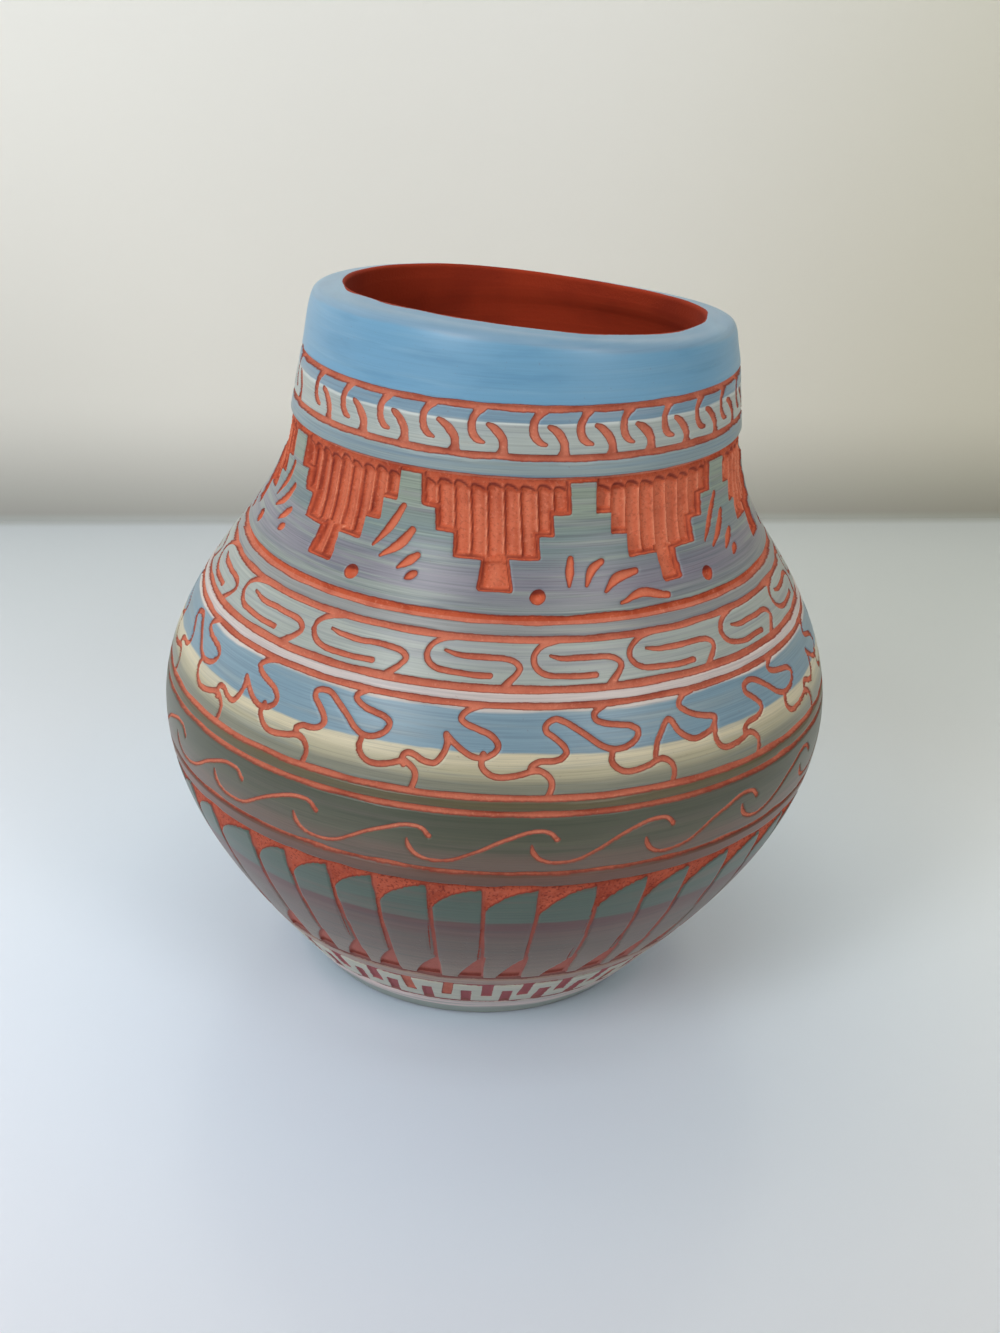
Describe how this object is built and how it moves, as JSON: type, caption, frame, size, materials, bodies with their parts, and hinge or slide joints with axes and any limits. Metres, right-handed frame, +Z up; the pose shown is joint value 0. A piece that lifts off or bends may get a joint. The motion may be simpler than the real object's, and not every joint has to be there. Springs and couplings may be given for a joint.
{
  "type": "etched pottery vase",
  "caption": "Hollow clay vase with a round belly, drawn-in neck and uneven rounded lip, coated in coloured rings cut with stepped and linear patterns.",
  "frame": {"origin": "on the table, under the middle of the belly's widest ring", "axes": "+Z up out of the mouth, the pictured side faces -Y"},
  "size_m": [0.12, 0.12, 0.1259],
  "materials": {
    "bare_clay": "matte, unglazed, lightly tooled",
    "grey_olive_coat": "matte painted",
    "pale_sage_coat": "matte painted",
    "teal_coat": "matte painted",
    "mauve_coat": "matte painted",
    "dark_olive_coat": "matte painted",
    "cream_blue_coat": "matte painted",
    "white_coat": "matte painted",
    "blue_grey_coat": "matte painted",
    "lavender_grey_coat": "matte painted",
    "sky_blue_coat": "satin painted"
  },
  "bodies": {
    "root": {"clay_body": "bare_clay", "foot_coat": "grey_olive_coat", "foot_fret_coat": "pale_sage_coat", "foot_stripe_coat": "pale_sage_coat", "feather_coat": "teal_coat", "mauve_stripe_coat": "mauve_coat", "wave_coat": "dark_olive_coat", "olive_stripe_coat": "dark_olive_coat", "winding_line_coat": "cream_blue_coat", "white_stripe_coat": "white_coat", "meander_coat": "blue_grey_coat", "shoulder_stripe_coat": "blue_grey_coat", "terrace_coat": "lavender_grey_coat", "neck_stripe_coat": "blue_grey_coat", "neck_scroll_coat": "blue_grey_coat", "rim_coat": "sky_blue_coat"}
  },
  "joints": []
}
